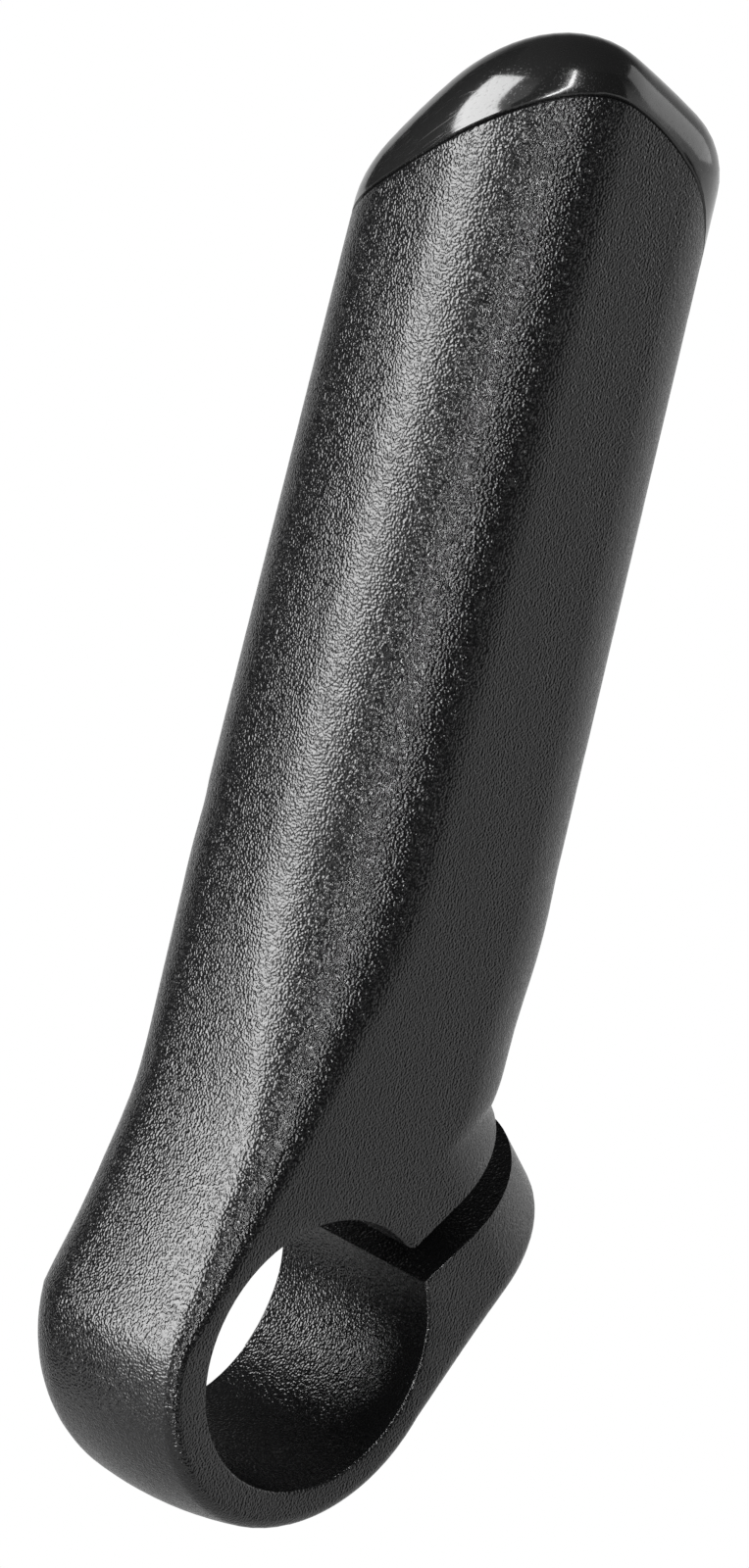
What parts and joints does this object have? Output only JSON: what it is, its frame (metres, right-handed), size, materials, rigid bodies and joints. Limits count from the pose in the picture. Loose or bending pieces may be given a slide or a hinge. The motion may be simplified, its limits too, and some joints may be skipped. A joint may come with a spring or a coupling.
{
  "type": "bicycle bar end",
  "caption": "Black cast aluminium bar end for a flat handlebar: slotted bar clamp with a screw, short thick horn and a domed end plug",
  "frame": {"origin": "centre of the bar bore, on its axis", "axes": "+X along the bore out of the flat outer face, +Z along the horn, +Y to the side of the slotted lug"},
  "size_m": [0.0228, 0.0403, 0.1184],
  "materials": {
    "anodised_body": "bead-blasted, black anodised",
    "plug_plastic": "glossy moulded, finely scuffed",
    "bolt_steel": "black oxide",
    "washer_steel": "zinc plated"
  },
  "bodies": {
    "bar_end": {"horn": "anodised_body", "end_plug": "plug_plastic"},
    "washer": {"bolt_washer": "washer_steel"},
    "screw": {"clamp_bolt": "bolt_steel"}
  },
  "joints": [
    {"name": "washer_travel", "type": "slide", "parent": "bar_end", "child": "washer", "axis": [0, 0.7071, -0.7071], "range_m": [0, 0.0016]},
    {"name": "screw_turn", "type": "hinge", "parent": "washer", "child": "screw", "pos_m": [-0.001, 0.01202, 0.01202], "axis": [0, 0.7071, -0.7071], "range_deg": [0, 720]}
  ],
  "couplings": [
    {"joint": "screw_turn", "follows": "washer_travel", "rad_per_m": 7854}
  ]
}
